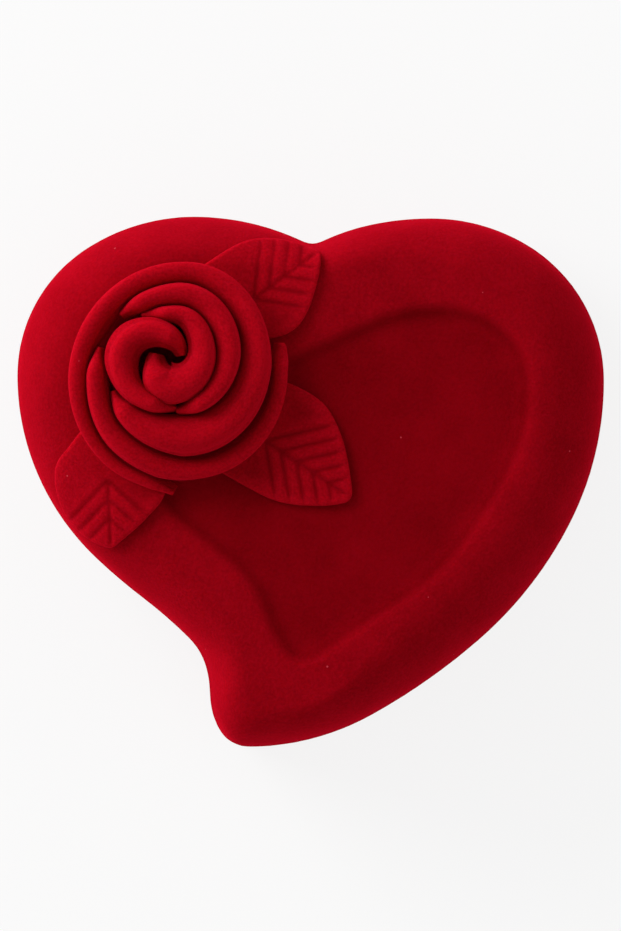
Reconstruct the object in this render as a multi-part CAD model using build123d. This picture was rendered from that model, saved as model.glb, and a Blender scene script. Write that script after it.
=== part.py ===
from build123d import *
from collections import namedtuple
import math
import os

# A hinged heart-shaped gift box of flocked moulded plastic. It stands on z = 0 with the tip of
# the heart towards -Y, the notch and the hinge towards +Y. All sizes are in millimetres.

# Heart outline where lid and base meet, its widest level. Places along it are measured from the
# sides, the front (tip) and the rear (lobes) of the box.
box_width = 68.0
box_depth = 61.6
notch_from_left = 34.2
notch_from_rear = 3.3
notch_radius = 1.7
notch_slope = 27.0
left_lobe_from_left = 20.5
left_side_from_rear = 18.6
left_flank_from_left = 9.1
left_flank_from_front = 21.9
left_flank_heading = 316.5
waist_from_left = 20.0
waist_from_front = 12.5
waist_heading = 315.0
heel_from_left = 22.3
heel_from_front = 6.2
tip_from_left = 26.8
right_flank_from_right = 14.5
right_flank_from_front = 12.4
right_flank_heading = 41.0
right_side_from_rear = 19.2
right_lobe_from_right = 20.0
right_lobe_drop = 0.2

# Heights and walls of the two shells
base_height = 17.0
rim_gap = 0.2
lid_side = 7.0
shoulder_rise = 9.0
wall = 2.0
floor_thickness = 2.0
side_draft = 0.4
lip_chamfer = 0.5
foot_round = 2.0
foot_sections = 3

# Width of the rounded shoulder between the lid's side and its flat crown
shoulder_sections = 6
shoulder_notch = 4.0
shoulder_lobe = 5.5
shoulder_left = 7.0
shoulder_waist = 5.0
shoulder_heel = 4.0
heel_slide = 1.2
shoulder_tip = 4.4
tip_slide = 2.4
shoulder_right = 8.0

# Sunken heart panel in the crown: depth, width of its soft slope and how much of that slope lies
# below the crown
panel_depth = 1.0
panel_slope = 2.6
panel_slope_share = 0.9
panel_slope_sections = 4

# Points of the panel's foot, each with the outline's heading: how far inwards from the left or the
# right side of the box and from its front or rear, and one point measured from the rose's centre
panel_cleft = (33.4, 17.8, 205)
panel_left_end = (20.4, 27.2, 322)
panel_left_flank = (27.7, 21.0, 311)
panel_tip_left = (32.4, 12.2, 305)
panel_tip_right = (34.0, 12.2, 35)
panel_right_flank = (17.8, 24.8, 53)
panel_right_side = (10.6, 19.8, 90)
panel_right_lobe = (19.0, 12.5, 180)
panel_under_rose = (-0.3, -10.4, 255)

# Rose on the left lobe: place of its centre, height of the bud, and its dome, a cap of a sphere
# over a base circle, which is spread to the seat's radius
rose_from_left = 17.8
rose_from_rear = 17.4
rose_height = 9.5
rose_dome_radius = 18.0
rose_dome_base = 13.2
rose_seat_radius = 13.2
petal_foot_share = 0.75
petal_lean = 0.9
petal_step = 1.2
tuck_reach = 3.0
tuck_share = 0.2
lip_round = 0.38
lip_slope = 0.6
lip_crest = 0.2

# Leaves round the rose
leaf_thickness = 1.1
leaf_drop = 4.5
leaf_lift = 0.2
leaf_gap = 0.15
vein_depth = 0.25
vein_width = 0.4
vein_pitch = 2.2
vein_angle = 46.0
vein_length = 12.0

# Hinge at the notch
hinge_inset = 1.4
hinge_half_groove = 46.0
hinge_length = 16.0
knuckle_length = 7.0
knuckle_radius = 1.25
knuckle_clearance = 0.3
knuckle_play = 0.1
pin_radius = 0.6
pin_clearance = 0.05
hinge_plate = 0.6
hinge_plate_height = 8.0
stake_radius = 0.9
stake_clearance = 0.1
stake_head_radius = 1.5
stake_head = 0.6
stake_spread = 5.0
stake_reach = 5.2
spring_width = 4.4
spring_gauge = 0.35
spring_reach = 4.0
spring_leg = 1.3
spring_clearance = 0.15
spring_room = 1.0

# Insert in the base and liner in the lid
ledge = 1.2
tray_depth = 1.0
tray_thickness = 1.5
fit_clearance = 0.3
cushion_length = 26.4
cushion_width = 8.4
cushion_round = 2.6
cushion_rise = 1.4
cushion_slit = 0.3
cushion_from_rear = 24.8
liner_card = 0.8
liner_clearance = 0.8
liner_pad = 4.0

# How far a cutting body stands past the face that it cuts
overcut = 1.0

left = -box_width / 2
right = box_width / 2
front = -box_depth / 2
rear = box_depth / 2
lid_rim_z = base_height + rim_gap
shoulder_z = lid_rim_z + lid_side
crown_z = shoulder_z + shoulder_rise
panel_z = crown_z - panel_depth
ceiling_z = panel_z - wall
ledge_z = base_height - tray_depth - tray_thickness
hinge_x = left + notch_from_left
hinge_y = rear - notch_from_rear - hinge_inset
hinge_z = base_height + rim_gap / 2
rose_x = left + rose_from_left
rose_y = rear - rose_from_rear

# A point on an outline and the heading, in degrees, of the outline as it passes
Key = namedtuple("Key", "point heading")


def key(x, y, heading):
    return Key(Vector(x, y), heading)


def ahead(heading):
    return Vector(math.cos(math.radians(heading)), math.sin(math.radians(heading)))


def shifted(at, grow, slide=0.0):
    """The key moved outwards, to the right of its heading, and along its heading."""
    return Key(at.point + ahead(at.heading - 90) * grow + ahead(at.heading) * slide, at.heading)


def grown(keys, grow):
    return [shifted(at, grow) for at in keys]


def between(keys, others, share):
    return [Key(a.point + (b.point - a.point) * share, a.heading) for a, b in zip(keys, others)]


def run(start, heading, end, height):
    """An arc that leaves start along the heading, or a line where that is straight."""
    lift = Vector(0, 0, height)
    chord = end - start
    if abs(heading.cross(chord).Z) < 1e-5 * chord.length:
        return Edge.make_line(start + lift, end + lift)
    return Edge.make_tangent_arc(start + lift, heading, end + lift)


def biarc(here, there, height):
    """Two arcs that join two keys and meet each other and the keys' headings smoothly."""
    leave = ahead(here.heading)
    arrive = ahead(there.heading)
    chord = there.point - here.point
    bend = 2 * (1 - leave.dot(arrive))
    along = 2 * chord.dot(leave + arrive)
    if bend < 1e-9:
        reach = chord.dot(chord) / along
    else:
        reach = (math.sqrt(along**2 + 4 * bend * chord.dot(chord)) - along) / (2 * bend)
    middle = (here.point + leave * reach + there.point - arrive * reach) * 0.5
    middle_heading = (there.point - arrive * reach) - (here.point + leave * reach)
    return [
        run(here.point, leave, middle, height),
        run(middle, middle_heading.normalized(), there.point, height),
    ]


def chain(keys, height):
    edges = []
    for here, there in zip(keys, keys[1:]):
        edges += biarc(here, there, height)
    return edges


def loop(keys, height):
    return Wire(chain(keys + keys[:1], height))


def prism(keys, bottom, top):
    return Solid.extrude(Face(loop(keys, bottom)), Vector(0, 0, top - bottom))


def block(x0, x1, y0, y1, z0, z1):
    return Pos((x0 + x1) / 2, (y0 + y1) / 2, (z0 + z1) / 2) * Box(x1 - x0, y1 - y0, z1 - z0)


def rod_x(radius, x0, x1, y, z):
    return Pos((x0 + x1) / 2, y, z) * Rot(0, 90, 0) * Cylinder(radius, x1 - x0)


def rod_y(radius, y0, y1, x, z):
    return Pos(x, (y0 + y1) / 2, z) * Rot(90, 0, 0) * Cylinder(radius, y1 - y0)


def rod_z(radius, z0, z1, x, y):
    return Pos(x, y, (z0 + z1) / 2) * Cylinder(radius, z1 - z0)


def notch_key(side):
    """One end of the small arc at the bottom of the notch: side is -1 on the left, 1 on the right."""
    slope = math.radians(notch_slope)
    rise = notch_radius * (1 - math.cos(slope))
    return key(
        hinge_x + side * notch_radius * math.sin(slope),
        rear - notch_from_rear + rise,
        180 + side * notch_slope,
    )


# The heart, counter-clockwise from the notch
heart = [
    notch_key(-1),
    key(left + left_lobe_from_left, rear, 180),
    key(left, rear - left_side_from_rear, 270),
    key(left + left_flank_from_left, front + left_flank_from_front, left_flank_heading),
    key(left + waist_from_left, front + waist_from_front, waist_heading),
    key(left + heel_from_left, front + heel_from_front, 270),
    key(left + tip_from_left, front, 0),
    key(right - right_flank_from_right, front + right_flank_from_front, right_flank_heading),
    key(right, rear - right_side_from_rear, 90),
    key(right - right_lobe_from_right, rear - right_lobe_drop, 180),
    notch_key(1),
]
shoulder = [
    (shoulder_notch, 0),
    (shoulder_lobe, 0),
    (shoulder_left, 0),
    (shoulder_left, 0),
    (shoulder_waist, 0),
    (shoulder_heel, -heel_slide),
    (shoulder_tip, tip_slide),
    (shoulder_right, 0),
    (shoulder_right, 0),
    (shoulder_lobe, 0),
    (shoulder_notch, 0),
]
crown = [shifted(at, -inset, slide) for at, (inset, slide) in zip(heart, shoulder)]


def lid_form(grow, bottom, top):
    """The lid's outer form, grown sideways and closed flat at the given bottom and top."""
    side = Solid.make_loft(
        [
            loop(grown(heart, grow), bottom),
            loop(grown(heart, grow - side_draft), shoulder_z),
        ],
        ruled=True,
    )
    sections = []
    for step in range(shoulder_sections + 1):
        lean = math.pi / 2 * step / shoulder_sections
        keys = between(grown(heart, grow - side_draft), crown, 1 - math.cos(lean))
        sections.append(loop(keys, shoulder_z + (top - shoulder_z) * math.sin(lean)))
    return side + Solid.make_loft(sections)


def hinge_groove(lead):
    """The V behind the hinge axis that lets the rear lobes swing past each other.
    Its point lies lead in front of the axis."""
    reach = box_depth / 2
    rise = reach * math.tan(math.radians(hinge_half_groove))
    point_y = hinge_y - lead
    corners = [
        (left - overcut, point_y, hinge_z),
        (left - overcut, point_y + reach, hinge_z + rise),
        (left - overcut, point_y + reach, hinge_z - rise),
    ]
    face = Face(Wire.make_polygon(corners))
    return Solid.extrude(face, Vector(box_width + 2 * overcut, 0, 0))


groove_lead = wall / math.sin(math.radians(hinge_half_groove))
boss_half = hinge_length / 2 + knuckle_clearance + wall
plate_front = hinge_y - knuckle_radius
boss_front = plate_front + hinge_plate


def hinge_boss(bottom, top):
    """The block behind the hinge plate that a shell keeps solid."""
    return block(hinge_x - boss_half, hinge_x + boss_half, boss_front, rear, bottom, top)


def hinge_room():
    """What both shells leave free for the hinge: the knuckles' round and the slot for the plates."""
    half = hinge_length / 2 + knuckle_clearance
    rise = hinge_plate_height + knuckle_clearance
    slot = block(
        hinge_x - half,
        hinge_x + half,
        hinge_y - groove_lead - wall,
        boss_front,
        hinge_z - rise,
        hinge_z + rise,
    )
    barrel = rod_x(knuckle_radius + knuckle_clearance, hinge_x - half, hinge_x + half, hinge_y, hinge_z)
    return slot + barrel


def stakes(side, radius, y0, y1):
    """The two pegs that hold a hinge plate: side is -1 in the base, 1 in the lid."""
    z = hinge_z + side * stake_reach
    return rod_y(radius, y0, y1, hinge_x - stake_spread, z) + rod_y(radius, y0, y1, hinge_x + stake_spread, z)


def stake_rivets(side):
    shanks = stakes(side, stake_radius, plate_front, boss_front)
    heads = stakes(side, stake_head_radius, plate_front - stake_head, plate_front)
    return shanks + heads


def inside(side, end, place):
    """The key that far inwards from a side of the box and from its front or rear end."""
    across, along, heading = place
    return key(side - math.copysign(across, side), end - math.copysign(along, end), heading)


def panel_cutter():
    """The sunken heart panel: a flat foot, a soft S-shaped slope and the crown's edge, without
    the round seat that the rose stands on."""
    under_x, under_y, under_heading = panel_under_rose
    foot = [
        inside(left, rear, panel_cleft),
        key(rose_x + under_x, rose_y + under_y, under_heading),
        inside(left, front, panel_left_end),
        inside(left, front, panel_left_flank),
        inside(left, front, panel_tip_left),
        inside(left, front, panel_tip_right),
        inside(right, front, panel_right_flank),
        inside(right, rear, panel_right_side),
        inside(right, rear, panel_right_lobe),
    ]
    sections = []
    for step in range(panel_slope_sections + 1):
        share = panel_slope_share * step / panel_slope_sections
        ease = share * share * (3 - 2 * share)
        sections.append(loop(grown(foot, panel_slope * share), panel_z + panel_depth * ease))
    slope = Solid.make_loft(sections)
    top = Solid.extrude(Face(sections[-1]), Vector(0, 0, panel_depth))
    seat = rod_z(rose_seat_radius, panel_z - overcut, crown_z + panel_depth, rose_x, rose_y)
    return slope + top - seat


def lid_shell():
    lip = Solid.make_loft(
        [
            loop(grown(heart, -lip_chamfer), lid_rim_z),
            loop(heart, lid_rim_z + lip_chamfer),
        ],
        ruled=True,
    )
    outside = lip + lid_form(0, lid_rim_z + lip_chamfer, crown_z)
    inside = lid_form(-wall, lid_rim_z - overcut, ceiling_z)
    inside = inside - hinge_groove(groove_lead) - hinge_boss(lid_rim_z - overcut, ceiling_z)
    shell = outside - inside - hinge_groove(0) - hinge_room()
    return shell - panel_cutter() + stake_rivets(1)


def base_shell():
    lip = Solid.make_loft(
        [
            loop(grown(heart, -lip_chamfer), base_height),
            loop(heart, base_height - lip_chamfer),
        ],
        ruled=True,
    )
    foot_keys = grown(heart, -side_draft)
    side = Solid.make_loft(
        [loop(heart, base_height - lip_chamfer), loop(foot_keys, foot_round)],
        ruled=True,
    )
    sections = []
    for step in range(foot_sections + 1):
        lean = math.pi / 2 * step / foot_sections
        inset = foot_round * (1 - math.cos(lean))
        sections.append(loop(grown(foot_keys, -inset), foot_round * (1 - math.sin(lean))))
    outside = lip + side + Solid.make_loft(sections)
    well = prism(grown(heart, -wall - ledge), floor_thickness, ledge_z)
    mouth = prism(grown(heart, -wall), ledge_z, base_height + overcut)
    inside = well + mouth
    inside = inside - hinge_groove(groove_lead) - hinge_boss(floor_thickness, base_height + overcut)
    shell = outside - inside - hinge_groove(0) - hinge_room()
    return shell + stake_rivets(-1)


# The points of the rose's petals and leaves count in hundredths of the radius of its seat.
rose_unit = rose_seat_radius / 100

# Petals of the rose, innermost first, wound counter-clockwise. Each point of a petal's lip, measured
# from the rose's centre, has the lip's heading and width there.
PetalKey = namedtuple("PetalKey", "x y heading width")
petals = {
    "rose_petal_1": [
        PetalKey(11.4, 6.8, 95, 8.3),
        PetalKey(-15.2, 28.8, 180, 18.2),
        PetalKey(-42.4, 3.8, 270, 19.7),
        PetalKey(-5.3, -37.1, 0, 8.3),
    ],
    "rose_petal_2": [
        PetalKey(-12.1, 10.6, 255, 12.9),
        PetalKey(1.5, -18.2, 0, 30.3),
        PetalKey(29.2, 11.4, 90, 18.9),
        PetalKey(4.5, 44.7, 178, 9.8),
        PetalKey(-25.0, 42.4, 192, 6.8),
    ],
    "rose_petal_3": [
        PetalKey(9.1, -39.4, 5, 9.8),
        PetalKey(51.1, 10.6, 90, 19.7),
        PetalKey(7.6, 61.4, 180, 17.4),
        PetalKey(-43.2, 42.4, 220, 8.3),
    ],
    "rose_petal_4": [
        PetalKey(-49.2, -22.0, 285, 7.6),
        PetalKey(11.4, -61.0, 0, 32.6),
        PetalKey(75.0, 10.6, 90, 24.2),
        PetalKey(11.4, 80.7, 180, 17.4),
        PetalKey(-80.7, -15.2, 270, 15.2),
        PetalKey(-50.0, -85.6, 319, 10.6),
        PetalKey(3.8, -112.9, 330, 9.1),
    ],
    "rose_petal_5": [
        PetalKey(-60.6, 15.9, 255, 6.8),
        PetalKey(-64.4, -9.1, 270, 13.6),
        PetalKey(-44.7, -65.2, 315, 17.4),
        PetalKey(16.7, -91.7, 0, 16.7),
        PetalKey(96.6, -6.1, 90, 12.1),
        PetalKey(97.7, 17.4, 88, 9.8),
    ],
}


def petal_section(place, heading, width, tuck, grow):
    """A petal cut across: a narrower foot on the crown, and a wall that leans out, the more the
    further from the rose's centre, to a lip that rolls over outwards and slopes down inwards. The
    lip lies on the rose's dome, or lower by the share tuck of its height."""
    reach = place.length * rose_dome_base / rose_seat_radius
    dome = math.sqrt(rose_dome_radius**2 - reach**2) - rose_dome_radius
    height = (rose_height + dome) * (1 - tuck) + grow
    half_lip = width / 2 + grow
    half_foot = petal_foot_share * width / 2 + grow
    lean = petal_lean * place.length / rose_seat_radius
    out = ahead(heading - 90)
    base = Vector(rose_x, rose_y, crown_z) + place

    def at(side, rise):
        return base + out * side + Vector(0, 0, rise)

    foot_in = at(-lean - half_foot, 0)
    foot_out = at(-lean + half_foot, 0)
    lip_out = at(half_lip, height - lip_round * width)
    crest = at(lip_crest * half_lip, height)
    lip_in = at(-half_lip, height - lip_slope * width)
    edges = [
        Edge.make_line(foot_in, foot_out),
        Edge.make_line(foot_out, lip_out),
        Edge.make_three_point_arc(lip_out, crest, lip_in),
        Edge.make_line(lip_in, foot_in),
    ]
    return Wire(edges)


def lip_key(at):
    return key(at.x * rose_unit, at.y * rose_unit, at.heading)


def petal(line, grow=0.0):
    """A petal through even sections along its line. Its two ends dip under the lips beside them."""
    arcs = []
    for here, there in zip(line, line[1:]):
        first, second = biarc(lip_key(here), lip_key(there), 0)
        share = first.length / (first.length + second.length)
        start = here.width * rose_unit
        end = there.width * rose_unit
        middle = start + (end - start) * share
        arcs += [(first, start, middle), (second, middle, end)]
    length = sum(arc.length for arc, start, end in arcs)
    count = round(length / petal_step)
    sections = []
    for step in range(count + 1):
        way = length * step / count
        dip = max(0, 1 - min(way, length - way) / tuck_reach)
        for arc, start, end in arcs:
            if way < arc.length + 1e-6:
                break
            way -= arc.length
        share = min(1, way / arc.length)
        along = arc % share
        heading = math.degrees(math.atan2(along.Y, along.X))
        width = start + (end - start) * share
        sections.append(petal_section(arc @ share, heading, width, tuck_share * dip * dip, grow))
    return Solid.make_loft(sections)


# Leaves: each outline's points are measured from the rose's centre, as are the ends of its
# mid-vein. The root ends clear of a radius where the petals' lips cover it.
Leaf = namedtuple("Leaf", "outline vein_root vein_tip root_radius")
leaf_upper = Leaf(
    outline=[
        key(131.8, 94.7, 90),
        key(128.0, 100.0, 155),
        key(80.3, 110.6, 183),
        key(31.8, 88.6, 215),
        key(100.0, 25.8, 20),
        key(123.5, 54.5, 72),
    ],
    vein_root=(73.5, 56.8),
    vein_tip=(131.1, 100.0),
    root_radius=84.5,
)
leaf_left = Leaf(
    outline=[
        key(-81.8, -62.9, 235),
        key(-100.8, -96.2, 270),
        key(-88.6, -135.6, 305),
        key(-54.5, -159.8, 345),
        key(-47.7, -158.3, 40),
        key(-19.7, -133.3, 48),
        key(-6.8, -118.2, 60),
    ],
    vein_root=(-53.8, -100.8),
    vein_tip=(-51.5, -159.1),
    root_radius=89.8,
)
leaf_right = Leaf(
    outline=[
        key(153.0, -120.5, 15),
        key(159.1, -110.6, 95),
        key(142.4, -45.5, 118),
        key(101.5, -15.2, 160),
        key(47.0, -95.5, 330),
        key(113.6, -122.7, 357),
    ],
    vein_root=(82.6, -65.9),
    vein_tip=(159.1, -116.7),
    root_radius=100.0,
)


def leaf_plan(leaf, bottom, top):
    """The leaf's outline as an upright prism that ends at its root radius."""
    place = Vector(rose_x, rose_y)
    outline = [Key(place + at.point * rose_unit, at.heading) for at in leaf.outline]
    root_radius = leaf.root_radius * rose_unit + leaf_gap
    root = rod_z(root_radius, bottom - overcut, top + overcut, rose_x, rose_y)
    return prism(outline, bottom, top) - root


def leaf_veins(leaf, bottom, top):
    """The grooves pressed along the mid-vein and forwards from it on both sides."""
    root = Vector(rose_x, rose_y) + Vector(*leaf.vein_root) * rose_unit
    tip = Vector(rose_x, rose_y) + Vector(*leaf.vein_tip) * rose_unit
    way = (tip - root).normalized()
    turn = math.degrees(math.atan2(way.Y, way.X))

    def groove(start, heading, length):
        middle = start + ahead(heading) * (length / 2)
        lift = Pos(middle.X, middle.Y, (bottom + top) / 2)
        return lift * Rot(0, 0, heading) * Box(length, vein_width, top - bottom)

    grooves = groove(root, turn, (tip - root).length)
    count = int((tip - root).length / vein_pitch)
    for step in range(count):
        start = root + way * (vein_pitch * step)
        for side in (-1, 1):
            grooves += groove(start, turn + side * vein_angle, vein_length)
    return grooves


def largest(shape):
    return shape.solids().sort_by(SortBy.VOLUME)[-1]


def draped_leaf(leaf):
    """A leaf of even thickness that lies on the lid's crown and shoulder."""
    bottom = crown_z - leaf_drop
    top = crown_z + leaf_thickness
    upper = lid_form(leaf_thickness, lid_rim_z, top)
    under = lid_form(0, lid_rim_z, crown_z)
    grooved = lid_form(leaf_thickness - vein_depth, lid_rim_z, top - vein_depth)
    body = (leaf_plan(leaf, bottom, top + overcut) & upper) - under
    body = body - (leaf_veins(leaf, bottom, top + overcut) - grooved)
    for name in ("rose_petal_4", "rose_petal_5"):
        body = body - petal(petals[name], leaf_gap)
    return largest(body)


def flat_leaf(leaf):
    """A leaf that lies on the floor of the sunken panel and rises to the rose's seat."""
    top = crown_z + leaf_lift
    lid = lid_form(0, lid_rim_z, crown_z) - panel_cutter()
    body = leaf_plan(leaf, panel_z, top) - lid
    return largest(body - leaf_veins(leaf, top - vein_depth, top + overcut))


def hinge_leaf(side):
    """A stamped hinge plate with its rolled knuckles: side is -1 for the base's plate with the two
    outer knuckles, 1 for the lid's plate with the middle one."""
    half = hinge_length / 2
    middle = knuckle_length / 2
    clear = knuckle_radius + knuckle_clearance
    ends = sorted((hinge_z, hinge_z + side * hinge_plate_height))
    plate = block(hinge_x - half, hinge_x + half, plate_front, boss_front, *ends)
    far_corners = plate.edges().filter_by(Axis.Y).sort_by(Axis.Z, reverse=side > 0)[:2]
    plate = fillet(far_corners, stake_head_radius)
    body = plate + rod_x(knuckle_radius, hinge_x - half, hinge_x + half, hinge_y, hinge_z)
    if side < 0:
        gaps = [(-middle - knuckle_play, middle + knuckle_play)]
    else:
        gaps = [(-half - overcut, -middle), (middle, half + overcut)]
    for x0, x1 in gaps:
        body = body - block(
            hinge_x + x0, hinge_x + x1, hinge_y - clear, hinge_y + clear, hinge_z - clear, hinge_z + clear
        )
    body = body - rod_x(pin_radius + pin_clearance, hinge_x - half, hinge_x + half, hinge_y, hinge_z)
    body = body - stakes(side, stake_radius + stake_clearance, plate_front, boss_front)
    window_half = spring_width / 2 + spring_clearance
    window_z = hinge_z + side * spring_reach
    window_rise = spring_gauge / 2 + spring_clearance
    window = block(
        hinge_x - window_half,
        hinge_x + window_half,
        plate_front,
        boss_front,
        window_z - window_rise,
        window_z + window_rise,
    )
    return body - window


def hinge_pin():
    half = hinge_length / 2
    return rod_x(pin_radius, hinge_x - half, hinge_x + half, hinge_y, hinge_z)


spring_turn_y = plate_front - spring_leg


def hinge_spring():
    """A bowed strip of spring steel, hooked into a window of each hinge plate."""
    x0 = hinge_x - spring_width / 2
    x1 = hinge_x + spring_width / 2
    outer = spring_reach + spring_gauge / 2
    inner = spring_reach - spring_gauge / 2
    bow = rod_x(outer, x0, x1, spring_turn_y, hinge_z) - rod_x(inner, x0, x1, spring_turn_y, hinge_z)
    bow = bow - block(x0, x1, spring_turn_y, spring_turn_y + outer, hinge_z - outer, hinge_z + outer)
    hook_y = boss_front - spring_clearance
    upper_leg = block(x0, x1, spring_turn_y, hook_y, hinge_z + inner, hinge_z + outer)
    lower_leg = block(x0, x1, spring_turn_y, hook_y, hinge_z - outer, hinge_z - inner)
    return bow + upper_leg + lower_leg


cushion_y = rear - cushion_from_rear


def insert_tray():
    """The flocked platform on the base's ledge, open for the cushions and for the hinge spring."""
    top = ledge_z + tray_thickness
    plate = prism(grown(heart, -wall - fit_clearance), ledge_z, top)
    rear_edge = hinge_y - groove_lead - fit_clearance
    plate = plate - block(left, right, rear_edge, rear, ledge_z, top)
    half_x = cushion_length / 2 + fit_clearance
    half_y = cushion_width + cushion_slit / 2 + fit_clearance
    plate = plate - block(-half_x, half_x, cushion_y - half_y, cushion_y + half_y, ledge_z, top)
    spring_half = spring_width / 2 + spring_room
    spring_front = spring_turn_y - spring_reach - spring_room
    return plate - block(
        hinge_x - spring_half, hinge_x + spring_half, spring_front, rear, ledge_z, top
    )


def cushion(side):
    """A foam roll under flocked cloth: side is -1 for the front one, 1 for the rear one."""
    middle = cushion_y + side * (cushion_width + cushion_slit) / 2
    body = block(
        -cushion_length / 2,
        cushion_length / 2,
        middle - cushion_width / 2,
        middle + cushion_width / 2,
        floor_thickness,
        base_height + cushion_rise,
    )
    return fillet(body.faces().sort_by(Axis.Z)[-1].edges(), cushion_round)


def lid_liner_card():
    return prism(grown(crown, -liner_clearance), ceiling_z - liner_card, ceiling_z)


# The pad from its flat back to its crown: how far its outline is drawn in towards the middle,
# as a share of the way, and how far it stands down, as a share of its thickness
pad_profile = [(0.0, 0.0), (0.01, 0.4), (0.08, 0.8), (0.25, 1.0)]


def lid_liner_pad():
    """The satin pad under the card: full at its edge, crowned towards the ring."""
    edge = grown(crown, -liner_clearance)
    middle = sum((at.point for at in edge), Vector()) * (1 / len(edge))
    centre = [Key(middle, at.heading) for at in edge]
    top = ceiling_z - liner_card
    sections = []
    for drawn_in, drop in pad_profile:
        sections.append(loop(between(edge, centre, drawn_in), top - liner_pad * drop))
    return Solid.make_loft(sections)


parts = {
    "base_shell": base_shell(),
    "insert_tray": insert_tray(),
    "cushion_front": cushion(-1),
    "cushion_rear": cushion(1),
    "hinge_leaf_base": hinge_leaf(-1),
    "hinge_pin": hinge_pin(),
    "hinge_spring": hinge_spring(),
    "hinge_leaf_lid": hinge_leaf(1),
    "lid_shell": lid_shell(),
    "lid_liner_card": lid_liner_card(),
    "lid_liner_pad": lid_liner_pad(),
    "leaf_upper": draped_leaf(leaf_upper),
    "leaf_left": draped_leaf(leaf_left),
    "leaf_right": flat_leaf(leaf_right),
}
for name, line in petals.items():
    parts[name] = petal(line)

os.makedirs("parts", exist_ok=True)
for name, shape in parts.items():
    export_step(shape, f"parts/{name}.step")
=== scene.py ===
import math

import bmesh
import bpy
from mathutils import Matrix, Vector, noise
from mathutils.geometry import interpolate_bezier
from mathutils.kdtree import KDTree


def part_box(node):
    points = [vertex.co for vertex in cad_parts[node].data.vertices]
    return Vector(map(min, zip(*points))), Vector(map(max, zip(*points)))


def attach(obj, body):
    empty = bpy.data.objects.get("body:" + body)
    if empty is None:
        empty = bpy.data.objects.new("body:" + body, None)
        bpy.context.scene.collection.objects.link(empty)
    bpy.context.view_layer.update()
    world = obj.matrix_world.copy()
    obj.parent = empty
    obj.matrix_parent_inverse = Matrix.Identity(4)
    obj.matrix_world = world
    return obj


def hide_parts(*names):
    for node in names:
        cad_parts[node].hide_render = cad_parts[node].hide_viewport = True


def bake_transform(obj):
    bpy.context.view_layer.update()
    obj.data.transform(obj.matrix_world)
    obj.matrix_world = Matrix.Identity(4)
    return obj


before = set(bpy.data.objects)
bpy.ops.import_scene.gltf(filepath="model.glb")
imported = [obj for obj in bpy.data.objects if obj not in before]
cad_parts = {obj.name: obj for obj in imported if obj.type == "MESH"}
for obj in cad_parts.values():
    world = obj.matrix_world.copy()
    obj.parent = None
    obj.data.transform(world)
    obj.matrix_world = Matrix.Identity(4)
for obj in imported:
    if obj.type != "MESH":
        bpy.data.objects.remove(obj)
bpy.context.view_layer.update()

# Lower half of the box. A heart-shaped shell moulded in polystyrene, coated with glue and flocked
# with short red nylon fibres, so that every edge is softened by the pile.
MM = 0.001
BASE_CELL = 0.45 * MM
BASE_SOFTENING = 4
# Real fibres stand closer than 0.1 mm; their grain is drawn at 0.3 mm so that it shows. The pile leans
# in patches, light sinks a little way into it, and here and there a loose pale fibre lies on it.
GRAIN = 0.3 * MM
GRAIN_RELIEF = 0.1 * MM
LEAN_PATCH = 6 * MM
LIGHT_DEPTH = 0.8 * MM
FLECK_SPACING = 4.5 * MM
FLECK_RADIUS = 0.117 * MM
# Values of the painted shade and highlight attribute at which the grain shows least and most, its strength
# at each, and the random pile tone less painted shade at which the colour is deepest and palest
WEAK_GRAIN_VALUE = 0.5
STRONG_GRAIN_VALUE = -0.9
FLAT_GRAIN = 0.8
FUZZY_GRAIN = 3.0
DEEPEST_TONE = -0.5
PALEST_TONE = 1.5


def linear(hex_colour):
    """An sRGB hex colour as linear red, green, blue and alpha."""
    parts = [int(hex_colour[i : i + 2], 16) / 255 for i in (1, 3, 5)]
    return [c / 12.92 if c <= 0.04045 else ((c + 0.055) / 1.055) ** 2.4 for c in parts] + [1.0]


def add(tree, kind, links=None, **settings):
    """A node of that kind. Settings are its properties, or its inputs where it has no such property;
    links name an input and the socket that feeds it."""
    node = tree.nodes.new(kind)
    for name, value in settings.items():
        if hasattr(node, name):
            setattr(node, name, value)
        else:
            node.inputs[name.replace("_", " ")].default_value = value
    for name, socket in (links or {}).items():
        tree.links.new(socket, node.inputs[name])
    return node


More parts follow.
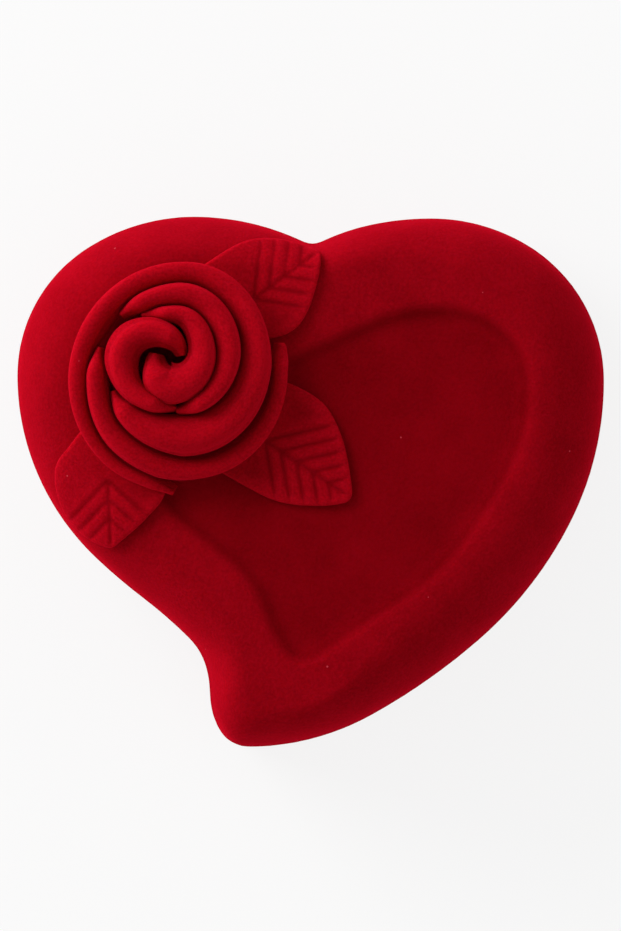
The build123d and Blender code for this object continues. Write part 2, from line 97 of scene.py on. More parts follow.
def flock(name, deep, lit, fleck):
    """Nylon flock: a dense pile of upright fibres. It has no gloss, only a soft sheen at grazing
    angles, a grain of fibre tips, patches where the pile leans, and a few pale loose fibres. Light
    sinks a little way into the pile. The point attribute it reads is 0 for plain pile; where it rises the
    colour is darkened as painted shade and the grain shows less, and where it falls below 0 the colour
    is paled as painted highlight and the grain shows more."""
    material = bpy.data.materials.new(name)
    material.use_nodes = True
    tree = material.node_tree
    shader = tree.nodes["Principled BSDF"]
    place = add(tree, "ShaderNodeTexCoord").outputs["Object"]
    grain = add(tree, "ShaderNodeTexNoise", {"Vector": place}, Scale=1 / GRAIN, Detail=2.0)
    patch = add(tree, "ShaderNodeTexNoise", {"Vector": place}, Scale=1 / LEAN_PATCH, Detail=3.0)
    nap_and_painted_light = add(tree, "ShaderNodeAttribute", attribute_name="nap_and_painted_light").outputs["Fac"]
    fuzz = add(
        tree,
        "ShaderNodeMapRange",
        {"Value": nap_and_painted_light},
        From_Min=WEAK_GRAIN_VALUE,
        From_Max=STRONG_GRAIN_VALUE,
        To_Min=FLAT_GRAIN,
        To_Max=FUZZY_GRAIN,
    )
    # The noise swings about one half, and its swing is what the fuzz makes stronger
    tips = add(tree, "ShaderNodeMath", {0: grain.outputs["Fac"]}, operation="SUBTRACT")
    tips.inputs[1].default_value = 0.5
    pile = add(
        tree,
        "ShaderNodeMath",
        {0: tips.outputs["Value"], 1: fuzz.outputs["Result"], 2: patch.outputs["Fac"]},
        operation="MULTIPLY_ADD",
    )
    # Painted shade and highlight: the attribute is taken off the random pile tone, darkening the colour
    # where it rises and paling it where it falls below 0
    tone_and_painted_light = add(tree, "ShaderNodeMath", {0: pile.outputs["Value"], 1: nap_and_painted_light}, operation="SUBTRACT")
    share = add(
        tree,
        "ShaderNodeMapRange",
        {"Value": tone_and_painted_light.outputs["Value"]},
        From_Min=DEEPEST_TONE,
        From_Max=PALEST_TONE,
    )
    colour = add(tree, "ShaderNodeMix", {"Factor": share.outputs["Result"]}, data_type="RGBA")
    colour.inputs["A"].default_value = linear(deep)
    colour.inputs["B"].default_value = linear(lit)
    cell = add(tree, "ShaderNodeTexVoronoi", {"Vector": place}, Scale=1 / FLECK_SPACING)
    loose = add(tree, "ShaderNodeMath", {0: cell.outputs["Distance"]}, operation="LESS_THAN")
    loose.inputs[1].default_value = FLECK_RADIUS / FLECK_SPACING
    flecked = add(tree, "ShaderNodeMix", {"Factor": loose.outputs["Value"]}, data_type="RGBA")
    tree.links.new(colour.outputs["Result"], flecked.inputs["A"])
    flecked.inputs["B"].default_value = linear(fleck)
    bump = add(
        tree, "ShaderNodeBump", {"Height": grain.outputs["Fac"]}, Strength=0.35, Distance=GRAIN_RELIEF
    )
    tree.links.new(flecked.outputs["Result"], shader.inputs["Base Color"])
    tree.links.new(bump.outputs["Normal"], shader.inputs["Normal"])
    shader.inputs["Roughness"].default_value = 1.0
    shader.inputs["Specular IOR Level"].default_value = 0.0
    shader.inputs["Subsurface Weight"].default_value = 0.8
    shader.inputs["Subsurface Radius"].default_value = (1.0, 0.4, 0.4)
    shader.inputs["Subsurface Scale"].default_value = LIGHT_DEPTH
    shader.inputs["Sheen Weight"].default_value = 0.7
    shader.inputs["Sheen Roughness"].default_value = 0.4
    shader.inputs["Sheen Tint"].default_value = linear(lit)
    return material


red_flock = flock("red nylon flock", "#7C020B", "#BC091C", "#C8404C")
# Corners of a solid's triangles that lie closer than this are one
WELD = 0.002 * MM


def piece_of(name, mesh, material):
    """An object at the origin with that mesh, in the scene."""
    piece = bpy.data.objects.new(name, mesh)
    bpy.context.scene.collection.objects.link(piece)
    mesh.materials.clear()
    mesh.materials.append(material)
    mesh.polygons.foreach_set("use_smooth", [True] * len(mesh.polygons))
    return piece


def even_copy(node, cell, size=1.0):
    """The solid's surface as an even mesh of that cell, size times as large."""
    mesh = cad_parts[node].data.copy()
    form = bmesh.new()
    form.from_mesh(mesh)
    bmesh.ops.remove_doubles(form, verts=form.verts, dist=WELD)
    bmesh.ops.scale(form, vec=Vector((size, size, size)), verts=form.verts)
    form.to_mesh(mesh)
    form.free()
    carrier = bpy.data.objects.new(node, mesh)
    bpy.context.scene.collection.objects.link(carrier)
    remesh = carrier.modifiers.new("even mesh", "REMESH")
    remesh.mode = "VOXEL"
    remesh.voxel_size = cell * size
    even = bpy.data.meshes.new_from_object(carrier.evaluated_get(bpy.context.evaluated_depsgraph_get()))
    bpy.data.objects.remove(carrier)
    return even


def soften(form, passes):
    """Draws each vertex halfway to the middle of its neighbours, that many times."""
    for turn in range(passes):
        bmesh.ops.smooth_vert(
            form, verts=form.verts, factor=0.5, use_axis_x=True, use_axis_y=True, use_axis_z=True
        )


def softened(mesh, passes):
    """The same for a finished mesh."""
    form = bmesh.new()
    form.from_mesh(mesh)
    soften(form, passes)
    form.to_mesh(mesh)
    form.free()


def flocked(node, body, material, cell, passes):
    """A moulded piece under its pile, which rounds off the solid's edges."""
    mesh = even_copy(node, cell)
    softened(mesh, passes)
    piece = piece_of(node + "_flocked", mesh, material)
    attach(piece, body)
    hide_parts(node)
    return piece


flocked("base_shell", "base", red_flock, BASE_CELL, BASE_SOFTENING)

# Insert tray. A thin moulded plate that lies on a ledge in the base, flocked in ivory, with a window
# for the ring cushions and a notch for the hinge spring.
TRAY_CELL = 0.35 * MM
TRAY_SOFTENING = 3
ivory_flock = flock("ivory nylon flock", "#C9BB9F", "#E6DAC2", "#F4EEE2")
flocked("insert_tray", "base", ivory_flock, TRAY_CELL, TRAY_SOFTENING)

# Ring cushions. Two foam rolls under ivory velvet, glued to the floor of the base and pressed side
# by side, so that a ring stands in the slit between them.
ivory_velvet = flock("ivory velvet", "#CFC1A6", "#EBE0CA", "#F6F0E4")
GLUED_FOOT = 0.5 * MM
COVER_SOFTENING = 3
ROLL_SOFTENING = 2
FILLING_PRESSURE = 3.0
SIM_SIZE = 10
SIM_FRAMES = 20


def swollen(node, cell, start, slack, cap, held):
    """The solid's form in cloth, blown up by its filling from the share start of its width and depth.
    The cloth is larger by the share slack, held where the function held says so, and moves by cap at
    most. It is worked out ten times as large, at the size the cloth solver is made for."""
    low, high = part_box(node)
    centre = (low + high) / 2
    mesh = even_copy(node, cell, SIM_SIZE)
    softened(mesh, COVER_SOFTENING)
    for vert in mesh.vertices:
        vert.co = centre * SIM_SIZE + (vert.co - centre * SIM_SIZE) * Vector((start, start, 1))
    rest = [vert.co.copy() for vert in mesh.vertices]
    blown = piece_of(node + "_blown", mesh, ivory_velvet)
    group = blown.vertex_groups.new(name="held")
    group.add([vert.index for vert in mesh.vertices if held(vert.co / SIM_SIZE)], 1.0, "REPLACE")
    cloth = blown.modifiers.new("filling", "CLOTH")
    cloth.settings.quality = 6
    cloth.settings.mass = 0.3
    cloth.settings.bending_stiffness = 0.3
    cloth.settings.shrink_min = -slack
    cloth.settings.use_pressure = True
    cloth.settings.uniform_pressure_force = FILLING_PRESSURE
    cloth.settings.effector_weights.gravity = 0
    cloth.settings.vertex_group_mass = "held"
    cloth.point_cache.frame_end = SIM_FRAMES
    for frame_number in range(1, SIM_FRAMES + 1):
        bpy.context.scene.frame_set(frame_number)
    filled = bpy.data.meshes.new_from_object(blown.evaluated_get(bpy.context.evaluated_depsgraph_get()))
    bpy.context.scene.frame_set(1)
    bpy.data.objects.remove(blown)
    for vert, before in zip(filled.vertices, rest):
        move = vert.co - before
        if move.length > cap * SIM_SIZE:
            move = move.normalized() * cap * SIM_SIZE
        vert.co = (before + move) / SIM_SIZE
    return filled


for node in ("cushion_front", "cushion_rear"):
    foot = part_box(node)[0].z
    roll = swollen(
        node,
        cell=0.5 * MM,
        start=0.94,
        slack=0.02,
        cap=0.4 * MM,
        held=lambda place: place.z < foot + GLUED_FOOT,
    )
    softened(roll, ROLL_SOFTENING)
    cushion = piece_of(node + "_roll", roll, ivory_velvet)
    finish = cushion.modifiers.new("finer", "SUBSURF")
    finish.levels = 1
    finish.render_levels = 1
    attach(cushion, "base")
    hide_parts(node)

# Hinge. Two stamped and rolled plates on a pin, of nickel-plated steel: pale and warm, with fine
# stamping streaks along the plate and a dull bloom.
STREAK = 0.15 * MM
STREAK_STRETCH = (0.05, 1, 1)
BLOOM = 2.5 * MM
plated = bpy.data.materials.new("nickel-plated steel")
plated.use_nodes = True
plated_tree = plated.node_tree
plated_shader = plated_tree.nodes["Principled BSDF"]
plated_place = add(plated_tree, "ShaderNodeTexCoord").outputs["Object"]
streaked = add(plated_tree, "ShaderNodeMapping", {"Vector": plated_place}, Scale=STREAK_STRETCH)
streaks = add(
    plated_tree, "ShaderNodeTexNoise", {"Vector": streaked.outputs["Vector"]}, Scale=1 / STREAK, Detail=3.0
)
bloom = add(plated_tree, "ShaderNodeTexNoise", {"Vector": plated_place}, Scale=1 / BLOOM, Detail=2.0)
plated_colour = add(plated_tree, "ShaderNodeMix", {"Factor": bloom.outputs["Fac"]}, data_type="RGBA")
plated_colour.inputs["A"].default_value = linear("#B9B3A6")
plated_colour.inputs["B"].default_value = linear("#D8D4CB")
plated_rough = add(
    plated_tree, "ShaderNodeMapRange", {"Value": streaks.outputs["Fac"]}, To_Min=0.22, To_Max=0.42
)
plated_tree.links.new(plated_colour.outputs["Result"], plated_shader.inputs["Base Color"])
plated_tree.links.new(plated_rough.outputs["Result"], plated_shader.inputs["Roughness"])
plated_shader.inputs["Metallic"].default_value = 1.0
for node in ("hinge_leaf_base", "hinge_pin", "hinge_leaf_lid"):
    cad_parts[node].material_slots[0].material = plated

# Hinge spring. A bowed strip of blued spring steel, grey and a little cloudy from tempering, hooked into
# both hinge plates. Its mesh is cut across its height into even slices.
TEMPER_PATCH = 1.2 * MM
SPRING_SLICES = 40
blued = bpy.data.materials.new("blued spring steel")
blued.use_nodes = True
blued_tree = blued.node_tree
blued_shader = blued_tree.nodes["Principled BSDF"]
blued_place = add(blued_tree, "ShaderNodeTexCoord").outputs["Object"]
temper = add(blued_tree, "ShaderNodeTexNoise", {"Vector": blued_place}, Scale=1 / TEMPER_PATCH, Detail=3.0)
blued_colour = add(blued_tree, "ShaderNodeMix", {"Factor": temper.outputs["Fac"]}, data_type="RGBA")
blued_colour.inputs["A"].default_value = linear("#5A5E66")
blued_colour.inputs["B"].default_value = linear("#8C8F94")
blued_rough = add(
    blued_tree, "ShaderNodeMapRange", {"Value": temper.outputs["Fac"]}, To_Min=0.28, To_Max=0.45
)
blued_tree.links.new(blued_colour.outputs["Result"], blued_shader.inputs["Base Color"])
blued_tree.links.new(blued_rough.outputs["Result"], blued_shader.inputs["Roughness"])
blued_shader.inputs["Metallic"].default_value = 1.0
spring_low, spring_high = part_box("hinge_spring")
spring_form = bmesh.new()
spring_form.from_mesh(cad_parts["hinge_spring"].data)
bmesh.ops.remove_doubles(spring_form, verts=spring_form.verts, dist=WELD)
for slice_number in range(1, SPRING_SLICES):
    bmesh.ops.bisect_plane(
        spring_form,
        geom=spring_form.verts[:] + spring_form.edges[:] + spring_form.faces[:],
        plane_co=spring_low.lerp(spring_high, slice_number / SPRING_SLICES),
        plane_no=Vector((0, 0, 1)),
    )
spring_mesh = bpy.data.meshes.new("hinge_spring_bow")
spring_form.to_mesh(spring_mesh)
spring_form.free()
spring = piece_of("hinge_spring_bow", spring_mesh, blued)
spring_mesh.polygons.foreach_set("use_smooth", [False] * len(spring_mesh.polygons))
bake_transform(spring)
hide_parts("hinge_spring")

# Lid. The upper half of the same moulding, with a crowned top, a sunken heart panel and the round
# seat of the rose, flocked like the base. The sunken panel is darkened with painted shade, most on its
# slope.
LID_CELL = 0.42 * MM
LID_SOFTENING = 5
PANEL_DEPTH = 1.0 * MM
PANEL_SHADE = 0.5
SLOPE_SHADE = 0.5
SHOULDER_TILT = 0.12
PANEL_MIDDLE = Vector((5, 1)) * MM


def eased(share):
    """A share held between 0 and 1, with a soft start and end."""
    share = min(1.0, max(0.0, share))
    return share * share * (3 - 2 * share)


lid = flocked("lid_shell", "lid", red_flock, LID_CELL, LID_SOFTENING)
crown_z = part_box("lid_shell")[1].z
# Painted shade: the sunken panel's colour is darkened, most on its slope, through the flock's attribute
panel_shade = lid.data.attributes.new("nap_and_painted_light", "FLOAT", "POINT")
for vert in lid.data.vertices:
    depth = eased((crown_z - vert.co.z) / PANEL_DEPTH)
    # The panel's slope leans towards its middle and the lid's shoulder away from it
    inward = (PANEL_MIDDLE - vert.co.xy).normalized().dot(vert.normal.xy)
    inside = eased(1 + inward / SHOULDER_TILT) if vert.normal.z > 0 else 0.0
    panel_shade.data[vert.index].value = inside * (PANEL_SHADE * depth + SLOPE_SHADE * 4 * depth * (1 - depth))

# Lid liner card. A plain buff card, die-cut to the heart, that carries the pad and is pressed up under
# the lid's ceiling. It is uncoated, so it looks matt, with a faint grain of fibres.
CARD_FIBRE = 0.4 * MM
CARD_RELIEF = 0.05 * MM
card = bpy.data.materials.new("uncoated card")
card.use_nodes = True
card_tree = card.node_tree
card_shader = card_tree.nodes["Principled BSDF"]
card_place = add(card_tree, "ShaderNodeTexCoord").outputs["Object"]
fibres = add(card_tree, "ShaderNodeTexNoise", {"Vector": card_place}, Scale=1 / CARD_FIBRE, Detail=4.0)
card_colour = add(card_tree, "ShaderNodeMix", {"Factor": fibres.outputs["Fac"]}, data_type="RGBA")
card_colour.inputs["A"].default_value = linear("#C6B698")
card_colour.inputs["B"].default_value = linear("#DDD0B6")
card_bump = add(
    card_tree, "ShaderNodeBump", {"Height": fibres.outputs["Fac"]}, Strength=0.2, Distance=CARD_RELIEF
)
card_tree.links.new(card_colour.outputs["Result"], card_shader.inputs["Base Color"])
card_tree.links.new(card_bump.outputs["Normal"], card_shader.inputs["Normal"])
card_shader.inputs["Roughness"].default_value = 0.85
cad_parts["lid_liner_card"].material_slots[0].material = card

# Lid liner pad. A thin wad of foam under ivory satin, drawn over the card's edge and glued to its
# back, so that the satin is full in the middle and gathers a little all round. The long threads on its
# face give it a soft gloss, and thicker ones show as pale slubs.
GLUED_EDGE = 0.7 * MM
SLUB = 0.3 * MM
SLUB_STRETCH = (1, 0.08, 1)
# The real threads are about 0.1 mm apart; they are drawn at 0.3 mm so that they show. At a scale of 1
# the wave's bands lie 2 pi / 20 apart.
THREAD = 0.3 * MM
THREAD_RELIEF = 0.03 * MM
WAVE_BAND = 2 * math.pi / 20
satin = bpy.data.materials.new("ivory satin")
satin.use_nodes = True
satin_tree = satin.node_tree
satin_shader = satin_tree.nodes["Principled BSDF"]
satin_place = add(satin_tree, "ShaderNodeTexCoord").outputs["Object"]
slub_map = add(satin_tree, "ShaderNodeMapping", {"Vector": satin_place}, Scale=SLUB_STRETCH)
slub = add(
    satin_tree, "ShaderNodeTexNoise", {"Vector": slub_map.outputs["Vector"]}, Scale=1 / SLUB, Detail=2.0
)
satin_colour = add(satin_tree, "ShaderNodeMix", {"Factor": slub.outputs["Fac"]}, data_type="RGBA")
satin_colour.inputs["A"].default_value = linear("#E2D6BD")
satin_colour.inputs["B"].default_value = linear("#F3EBDB")
weave = add(satin_tree, "ShaderNodeTexWave", {"Vector": satin_place}, Scale=WAVE_BAND / THREAD)
weave_bump = add(
    satin_tree, "ShaderNodeBump", {"Height": weave.outputs["Fac"]}, Strength=0.15, Distance=THREAD_RELIEF
)
satin_tree.links.new(satin_colour.outputs["Result"], satin_shader.inputs["Base Color"])
satin_tree.links.new(weave_bump.outputs["Normal"], satin_shader.inputs["Normal"])
satin_shader.inputs["Roughness"].default_value = 0.38
satin_shader.inputs["Sheen Weight"].default_value = 0.3
satin_shader.inputs["Sheen Roughness"].default_value = 0.3
pad_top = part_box("lid_liner_pad")[1].z
pad_mesh = swollen(
    "lid_liner_pad",
    cell=0.6 * MM,
    start=0.985,
    slack=0.07,
    cap=0.6 * MM,
    held=lambda place: place.z > pad_top - GLUED_EDGE,
)
pad = piece_of("lid_liner_pad_satin", pad_mesh, satin)
pad_finish = pad.modifiers.new("finer", "SUBSURF")
pad_finish.levels = 1
pad_finish.render_levels = 1
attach(pad, "lid")
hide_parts("lid_liner_pad")

# Leaves of the rose. Each is pressed from the same plastic with its veins, flocked and glued down. The
# sunken veins are darkened with painted shade and the raised rim is paled with painted highlight.
LEAF_CELL = 0.14 * MM
LEAF_SOFTENING = 20
VEIN_BLUR = 14
VEIN_REACH = 90
VEIN_DEPTH = 0.04 * MM
VEIN_SHADE = 0.45
RIM_HIGHLIGHT = -0.5
for node in ("leaf_upper", "leaf_left", "leaf_right"):
    leaf = flocked(node, "lid", red_flock, LEAF_CELL, LEAF_SOFTENING)
    # Veins sit below the level of their surroundings, the leaf smoothed far, and the rim above it; the
    # veins get painted shade and the rim painted highlight
    blurred = leaf.data.copy()
    softened(blurred, VEIN_BLUR)
    level = blurred.copy()
    softened(level, VEIN_REACH)
    vein_shade_and_rim_highlight = leaf.data.attributes.new("nap_and_painted_light", "FLOAT", "POINT")
    for vert, near, far in zip(leaf.data.vertices, blurred.vertices, level.vertices):
        sunk = (far.co - near.co).dot(vert.normal) / VEIN_DEPTH
        vein_shade_and_rim_highlight.data[vert.index].value = VEIN_SHADE * min(1, sunk) if sunk > 0 else RIM_HIGHLIGHT * min(1, -sunk)
    bpy.data.meshes.remove(blurred)
    bpy.data.meshes.remove(level)

# Rose. Five petals, each a strip wound on edge with a thick rolled lip, glued on the lid one inside
# another and flocked. A lip's crest lies near its outer side, its inner side slopes down to the groove,
# and under the lips the petals swell until they meet.
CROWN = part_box("rose_petal_4")[0].z
ROSE_CENTRE = Vector((-16.2, 13.4)) * MM
ROSE_HEIGHT = 9.5 * MM
DOME_RADIUS = 18.0 * MM
SEAT_RADIUS = 13.2 * MM
# A petal's foot: its width as a share of the width above it, and how far it leans in at the seat's rim
FOOT_SHARE = 0.75
PETAL_LEAN = 0.9 * MM
# A petal's ends: the stretch over which they shrink, what is left there of the lip's width, of the
# swelling and at the very tip, and the share of the height that they lose. An end that lies further
# from the rose's centre than the free reach doesn't swell.
END_REACH = 3.0 * MM
END_WIDTH = 0.45
END_FILL = 0.6
END_TIP = 0.3
END_DIP = 0.3
FREE_REACH = 12.5 * MM
# A lip's section: how far its outer side rounds and its inner side slopes down, as shares of its width,
# its crest as a share of half of it, and a slow waver of its height
LIP_ROUND = 0.38
LIP_SLOPE = 0.6
LIP_CREST = 0.2
WAVER = 0.12 * MM
WAVER_LENGTH = 4 * MM
# The groove beside a lip: its least depth, the depth it gains as a share of its width, how far each
# swelling goes past its middle, and the widest groove and lip that are looked for
GROOVE_DEPTH = 0.3 * MM
GROOVE_SHARE = 0.35
GROOVE_OVERLAP = 0.12 * MM
WIDEST_GROOVE = 3.2 * MM
WIDEST_LIP = 4.4 * MM
# What counts as the lip across a groove: none of the petal's own next stretch, outwards none that is
# less full than this share, and only what lies within a cone of this cosine
OWN_TURN = 8.0 * MM
LOW_LIP = 0.5
CONE = 0.6
# The mesh: points down each side, the shares of the way down at which lip and groove end, the step along
# a lip, about how much longer an arc is than its chord, the turn in radians that counts as straight, the
# rings on each side over which the swelling is evened out, and the smoothing passes
SIDE_POINTS = 15
LIP_PART = 0.5
GROOVE_PART = 0.85
STEP = 0.25 * MM
ARC_PER_CHORD = 1.15
STRAIGHT = 0.01
FILL_REACH = 9
PETAL_SOFTENING = 3
# Painted highlight along a lip's crest and outer side, and painted shade down its inner slope and in the
# grooves; the grain shows more where the colour is paled and less where it is darkened
CREST_HIGHLIGHT = -0.7
LIP_HIGHLIGHT_AND_SHADE = {1: -0.2, -1: 0.4}
GROOVE_SHADE = 0.2
# Points along each lip from the rose's centre in millimetres, with the lip's heading and width
PETALS = {
    "rose_petal_1": [
        (1.5, 0.9, 95, 1.1),
        (-2.0, 3.8, 180, 2.4),
        (-5.6, 0.5, 270, 2.6),
        (0.9, -4.95, 2, 1.1),
    ],
    "rose_petal_2": [
        (-1.6, 1.4, 255, 1.7),
        (0.2, -2.4, 0, 4.0),
        (3.85, 1.5, 90, 2.5),
        (0.6, 5.9, 178, 1.3),
        (-3.3, 5.6, 192, 0.9),
    ],
    "rose_petal_3": [
        (0.6, -5.3, 3, 1.3),
        (6.75, 1.4, 90, 2.6),
        (1.0, 8.1, 180, 2.3),
        (-5.7, 5.6, 220, 1.1),
    ],
    "rose_petal_4": [
        (-6.5, -2.9, 285, 1.0),
        (1.5, -8.05, 0, 4.3),
        (9.9, 1.4, 90, 3.2),
        (1.5, 10.65, 180, 2.3),
        (-10.65, -2.0, 270, 2.0),
        (-6.6, -11.3, 319, 1.4),
        (0.5, -14.9, 330, 1.2),
    ],
    "rose_petal_5": [
        (-8.0, 2.1, 255, 0.9),
        (-8.5, -1.2, 270, 1.8),
        (-5.9, -8.6, 315, 2.3),
        (2.2, -12.1, 0, 2.2),
        (12.75, -0.8, 90, 1.6),
        (12.9, 2.6, 88, 2.4),
    ],
}


def ahead(heading):
    """One step in that heading, in degrees from +X."""
    return Vector((math.cos(math.radians(heading)), math.sin(math.radians(heading))))


def traced(points):
    """Places, headings and widths along a lip, about a step apart, on nearly round curves."""
    line = []
    for here, there in zip(points, points[1:]):
        start = Vector(here[:2]) * MM
        end = Vector(there[:2]) * MM
        turn = math.radians((there[2] - here[2] + 180) % 360 - 180)
        chord = (end - start).length
        if abs(turn) < STRAIGHT:
            reach = chord / 3
        else:
            reach = chord * 2 / 3 * math.tan(turn / 4) / math.sin(turn / 2)
        steps = max(4, round(chord * ARC_PER_CHORD / STEP))
        handles = (start, start + ahead(here[2]) * reach, end - ahead(there[2]) * reach, end)
        stretch = interpolate_bezier(*handles, steps)
        for k, place in enumerate(stretch[:-1]):
            way = k / (steps - 1)
            heading = (stretch[k + 1] - stretch[max(0, k - 1)]).normalized()
            line.append((place, heading, (here[3] + (there[3] - here[3]) * way) * MM))
    line.append((Vector(points[-1][:2]) * MM, ahead(points[-1][2]), points[-1][3] * MM))
    return line


def rings_of(points):
    """Along a lip: its place, the way out from it, half its width, and how full it stands there, from
    0 at its ends to 1."""
    line = traced(points)
    done = [0.0]
    for here, there in zip(line, line[1:]):
        done.append(done[-1] + (there[0] - here[0]).length)
    rings = []
    for (place, heading, width), way in zip(line, done):
        to_end = min(way, done[-1] - way)
        full = eased(to_end / END_REACH)
        half = width / 2 * (END_WIDTH + (1 - END_WIDTH) * full)
        tip = max(0.0, 1 - to_end / half)
        half *= max(END_TIP, math.sqrt(1 - tip * tip))
        rings.append((place, Vector((heading.y, -heading.x)), half, full))
    return rings


petal_rings = {name: rings_of(points) for name, points in PETALS.items()}
lip_marks = [(name, number) for name, rings in petal_rings.items() for number in range(len(rings))]
lip_tree = KDTree(len(lip_marks))
for mark, (name, number) in enumerate(lip_marks):
    lip_tree.insert((*petal_rings[name][number][0], 0), mark)
lip_tree.balance()


def fill_beside(name, number, side):
    """How far a petal swells under its lip to the middle of the groove beside it, on the side 1
    outwards or -1 inwards. Where no other lip is near, it doesn't."""
    place, out, half, full = petal_rings[name][number]
    edge = place + out * side * half
    nearest = WIDEST_GROOVE
    for spot, mark, distance in lip_tree.find_range((*edge, 0), WIDEST_GROOVE + WIDEST_LIP / 2):
        other, place_number = lip_marks[mark]
        own = other == name and abs(place_number - number) * STEP < OWN_TURN
        low = side == 1 and petal_rings[other][place_number][3] < LOW_LIP
        if not own and not low and (spot.xy - edge).dot(out) * side > CONE * distance:
            nearest = min(nearest, distance - petal_rings[other][place_number][2])
    if nearest == WIDEST_GROOVE:
        return 0.0
    least = END_FILL if place.length < FREE_REACH else 0.0
    return (max(0.0, nearest) / 2 + GROOVE_OVERLAP) * max(least, full)


def evened(values, reach):
    """The values, each averaged with those up to reach places before and after it."""
    spans = [values[max(0, k - reach) : k + reach + 1] for k in range(len(values))]
    return [sum(span) / len(span) for span in spans]


def petal(name):
    """One petal: a ring of points round its section at each step, bridged from end to end. A ring runs
    down the outer side from the crest, first round the lip, then into the groove and to the foot, and up
    the inner side."""
    rings = petal_rings[name]
    fills = {}
    for side in (1, -1):
        swelling = [fill_beside(name, number, side) for number in range(len(rings))]
        fills[side] = evened(swelling, FILL_REACH)
    form = bmesh.new()
    nap_and_painted_light = form.verts.layers.float.new("nap_and_painted_light")
    loops = []
    for number, (place, out, half, full) in enumerate(rings):
        centre = Vector((*(ROSE_CENTRE + place), CROWN))
        rough = noise.noise(centre / WAVER_LENGTH)
        lean = PETAL_LEAN * place.length / SEAT_RADIUS
        dome = math.sqrt(DOME_RADIUS**2 - place.length_squared) - DOME_RADIUS
        top = (ROSE_HEIGHT + dome) * (1 - END_DIP * (1 - full)) + WAVER * rough
        ring = bmesh.ops.create_circle(form, segments=2 * SIDE_POINTS, radius=1)["verts"]
        loops.append(list(dict.fromkeys(edge for vert in ring for edge in vert.link_edges)))
        for k, vert in enumerate(ring):
            side = 1 if k < SIDE_POINTS else -1
            steps_down = k if side == 1 else 2 * SIDE_POINTS - 1 - k
            down = (steps_down + 0.5) / (SIDE_POINTS - 0.5)
            roll = math.pi / 2 * min(1, down / LIP_PART)
            sink = math.pi / 2 * min(1, max(0, (down - LIP_PART) / (GROOVE_PART - LIP_PART)))
            drop = (LIP_ROUND if side == 1 else LIP_SLOPE) * 2 * half
            fill = fills[side][number]
            depth = GROOVE_DEPTH + GROOVE_SHARE * 2 * fill
            crest = LIP_CREST * half
            across = crest + (side * half - crest) * math.sin(roll) + side * fill * (1 - math.cos(sink))
            rise = top - drop * (1 - math.cos(roll)) - depth * math.sin(sink)
            if down > GROOVE_PART:
                foot = (down - GROOVE_PART) / (1 - GROOVE_PART)
                across = across * (1 + (FOOT_SHARE - 1) * foot) - lean * foot
                rise = rise * (1 - foot)
            vert.co = centre + Vector((*(out * across), rise))
            # Painted highlight on the crest and outer side, painted shade on the inner slope and in the
            # groove
            vert[nap_and_painted_light] = CREST_HIGHLIGHT + LIP_HIGHLIGHT_AND_SHADE[side] * math.sin(roll) ** 2 + GROOVE_SHADE * math.sin(sink)
    for near, far in zip(loops, loops[1:]):
        bmesh.ops.bridge_loops(form, edges=near + far)
    bmesh.ops.holes_fill(form, edges=loops[0] + loops[-1], sides=2 * SIDE_POINTS)
    bmesh.ops.recalc_face_normals(form, faces=form.faces)
    soften(form, PETAL_SOFTENING)
    mesh = bpy.data.meshes.new(name)
    form.to_mesh(mesh)
    form.free()
    piece = piece_of(name + "_wound", mesh, red_flock)
    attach(piece, "lid")
    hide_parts(name)


for name in PETALS:
    petal(name)

# Table under the box and the room's light: a white floor, a wide lamp at the upper left and an
# even pale surround.
FLOOR_SIDE = 3.0
FLOOR_VEIL = 0.85
LAMP_AZIMUTH = 144
LAMP_ELEVATION = 30
LAMP_DISTANCE = 0.6
LAMP_SIZE = 0.45
LAMP_POWER = 2.65
ROOM_LIGHT = 0.47
floor_form = bmesh.new()
bmesh.ops.create_grid(floor_form, x_segments=4, y_segments=4, size=FLOOR_SIDE / 2)
floor_mesh = bpy.data.meshes.new("floor")
floor_form.to_mesh(floor_mesh)
floor_form.free()
floor_paint = bpy.data.materials.new("white card")
floor_paint.use_nodes = True
floor_tree = floor_paint.node_tree
floor_shader = floor_tree.nodes["Principled BSDF"]
floor_shader.inputs["Base Color"].default_value = linear("#F4F4F4")
floor_shader.inputs["Roughness"].default_value = 0.9
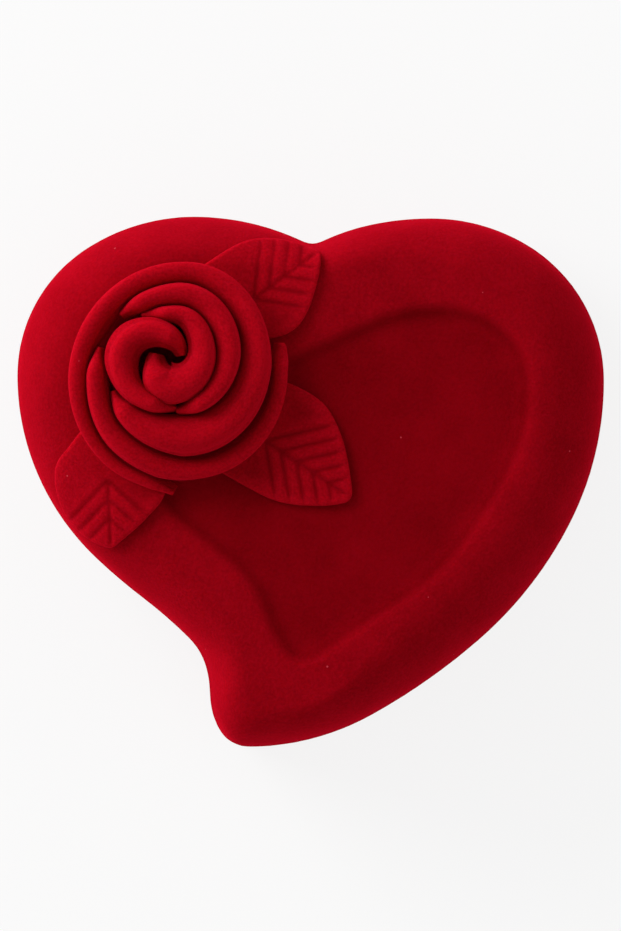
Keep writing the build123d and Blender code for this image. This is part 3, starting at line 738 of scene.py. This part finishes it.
# Seen directly or in a reflection the floor is nearly white, and it still takes the box's shadow
sight = add(floor_tree, "ShaderNodeLightPath")
seen = add(
    floor_tree,
    "ShaderNodeMath",
    {0: sight.outputs["Is Camera Ray"], 1: sight.outputs["Is Glossy Ray"]},
    operation="MAXIMUM",
)
bright = add(floor_tree, "ShaderNodeEmission", Color=(1, 1, 1, 1), Strength=1.0)
veil = add(floor_tree, "ShaderNodeMath", {0: seen.outputs["Value"]}, operation="MULTIPLY")
veil.inputs[1].default_value = FLOOR_VEIL
mixed = add(
    floor_tree,
    "ShaderNodeMixShader",
    {0: veil.outputs["Value"], 1: floor_shader.outputs["BSDF"], 2: bright.outputs["Emission"]},
)
floor_tree.links.new(mixed.outputs["Shader"], floor_tree.nodes["Material Output"].inputs["Surface"])
floor = piece_of("floor", floor_mesh, floor_paint)

lamp_data = bpy.data.lights.new("window", "AREA")
lamp_data.shape = "DISK"
lamp_data.size = LAMP_SIZE
lamp_data.energy = LAMP_POWER
lamp = bpy.data.objects.new("window", lamp_data)
bpy.context.scene.collection.objects.link(lamp)
lamp_plan = ahead(LAMP_AZIMUTH) * math.cos(math.radians(LAMP_ELEVATION))
lamp_way = Vector((*lamp_plan, math.sin(math.radians(LAMP_ELEVATION))))
lamp.location = lamp_way * LAMP_DISTANCE
lamp.rotation_euler = lamp_way.to_track_quat("Z", "Y").to_euler()

world = bpy.data.worlds.new("pale room")
world.use_nodes = True
surround = world.node_tree.nodes["Background"]
surround.inputs["Color"].default_value = (1, 1, 1, 1)
outlook = add(world.node_tree, "ShaderNodeLightPath")
in_sight = add(
    world.node_tree,
    "ShaderNodeMath",
    {0: outlook.outputs["Is Camera Ray"], 1: outlook.outputs["Is Glossy Ray"]},
    operation="MAXIMUM",
)
room = add(world.node_tree, "ShaderNodeMapRange", {"Value": in_sight.outputs["Value"]}, To_Min=ROOM_LIGHT)
world.node_tree.links.new(room.outputs["Result"], surround.inputs["Strength"])
bpy.context.scene.world = world
bpy.context.scene.view_settings.view_transform = "Standard"

# Camera straight above the box, far off with a long lens, so that the box shows in plan. At the height
# of the lid's rim a millimetre is 8.64 pixels of an image 931 pixels high.
IMAGE_HEIGHT = 931
PIXELS_PER_MM = 8.64
LENS = 900
VIEW_X = -0.02 * MM
VIEW_Y = 1.8 * MM
RIM_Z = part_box("lid_shell")[0].z
camera_data = bpy.data.cameras.new("camera")
camera_data.lens = LENS
camera_data.clip_end = 10
camera = bpy.data.objects.new("camera", camera_data)
bpy.context.scene.collection.objects.link(camera)
distance = IMAGE_HEIGHT * LENS / camera_data.sensor_width / PIXELS_PER_MM * MM
camera.location = (VIEW_X, VIEW_Y, RIM_Z + distance)
bpy.context.scene.camera = camera
